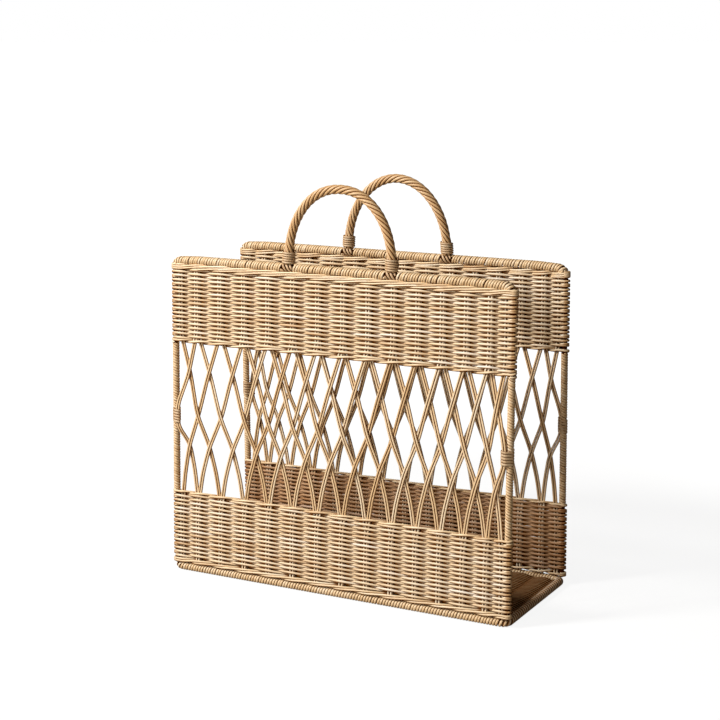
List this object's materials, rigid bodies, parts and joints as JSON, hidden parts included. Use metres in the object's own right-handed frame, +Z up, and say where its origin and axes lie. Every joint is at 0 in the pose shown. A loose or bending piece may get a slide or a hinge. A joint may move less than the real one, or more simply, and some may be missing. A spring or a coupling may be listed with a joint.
{
  "type": "magazine basket",
  "caption": "Open-topped, open-ended rattan magazine basket: two lattice panels with woven bands and roped bow handles on a wrapped base ring with a woven floor.",
  "frame": {"origin": "centre of the basket's footprint, on the surface it stands on", "axes": "+Z up, -Y out of the front panel, +X to the right seen from the front, along the panels"},
  "size_m": [0.4114, 0.1624, 0.4389],
  "materials": {
    "cane": "satin",
    "wrapping": "satin",
    "weave": "satin",
    "twine": "satin",
    "lattice_rods": "satin",
    "rope": "satin",
    "binding_reed": "satin"
  },
  "bodies": {
    "root": {"base_ring": "cane", "base_wrap_front": "wrapping", "base_wrap_back": "wrapping", "base_wrap_left": "wrapping", "base_wrap_right": "wrapping", "floor_weave": "weave", "floor_stake_1": "cane", "floor_stake_2": "cane", "floor_stake_3": "cane", "floor_stake_4": "cane", "floor_stake_5": "cane", "floor_stake_6": "cane", "floor_stake_7": "cane", "floor_stake_8": "cane", "floor_stake_9": "cane", "floor_stake_10": "cane", "floor_stake_11": "cane", "floor_stake_12": "cane", "floor_stake_13": "cane", "front_hoop": "cane", "front_foot_twine": "twine", "front_lower_twine": "twine", "front_upper_twine": "twine", "front_rail_twine": "twine", "front_lower_band": "weave", "front_upper_band": "weave", "front_lattice": "lattice_rods", "front_rail_wrap_left": "wrapping", "front_rail_wrap_middle": "wrapping", "front_rail_wrap_right": "wrapping", "front_left_post_wrap": "wrapping", "front_left_post_binding": "binding_reed", "front_handle_left_lashing": "binding_reed", "front_handle_left_collar": "binding_reed", "front_right_post_wrap": "wrapping", "front_right_post_binding": "binding_reed", "front_handle_right_lashing": "binding_reed", "front_handle_right_collar": "binding_reed", "front_handle": "rope", "back_hoop": "cane", "back_foot_twine": "twine", "back_lower_twine": "twine", "back_upper_twine": "twine", "back_rail_twine": "twine", "back_lower_band": "weave", "back_upper_band": "weave", "back_lattice": "lattice_rods", "back_rail_wrap_left": "wrapping", "back_rail_wrap_middle": "wrapping", "back_rail_wrap_right": "wrapping", "back_left_post_wrap": "wrapping", "back_left_post_binding": "binding_reed", "back_handle_left_lashing": "binding_reed", "back_handle_left_collar": "binding_reed", "back_right_post_wrap": "wrapping", "back_right_post_binding": "binding_reed", "back_handle_right_lashing": "binding_reed", "back_handle_right_collar": "binding_reed", "back_handle": "rope"}
  },
  "joints": []
}
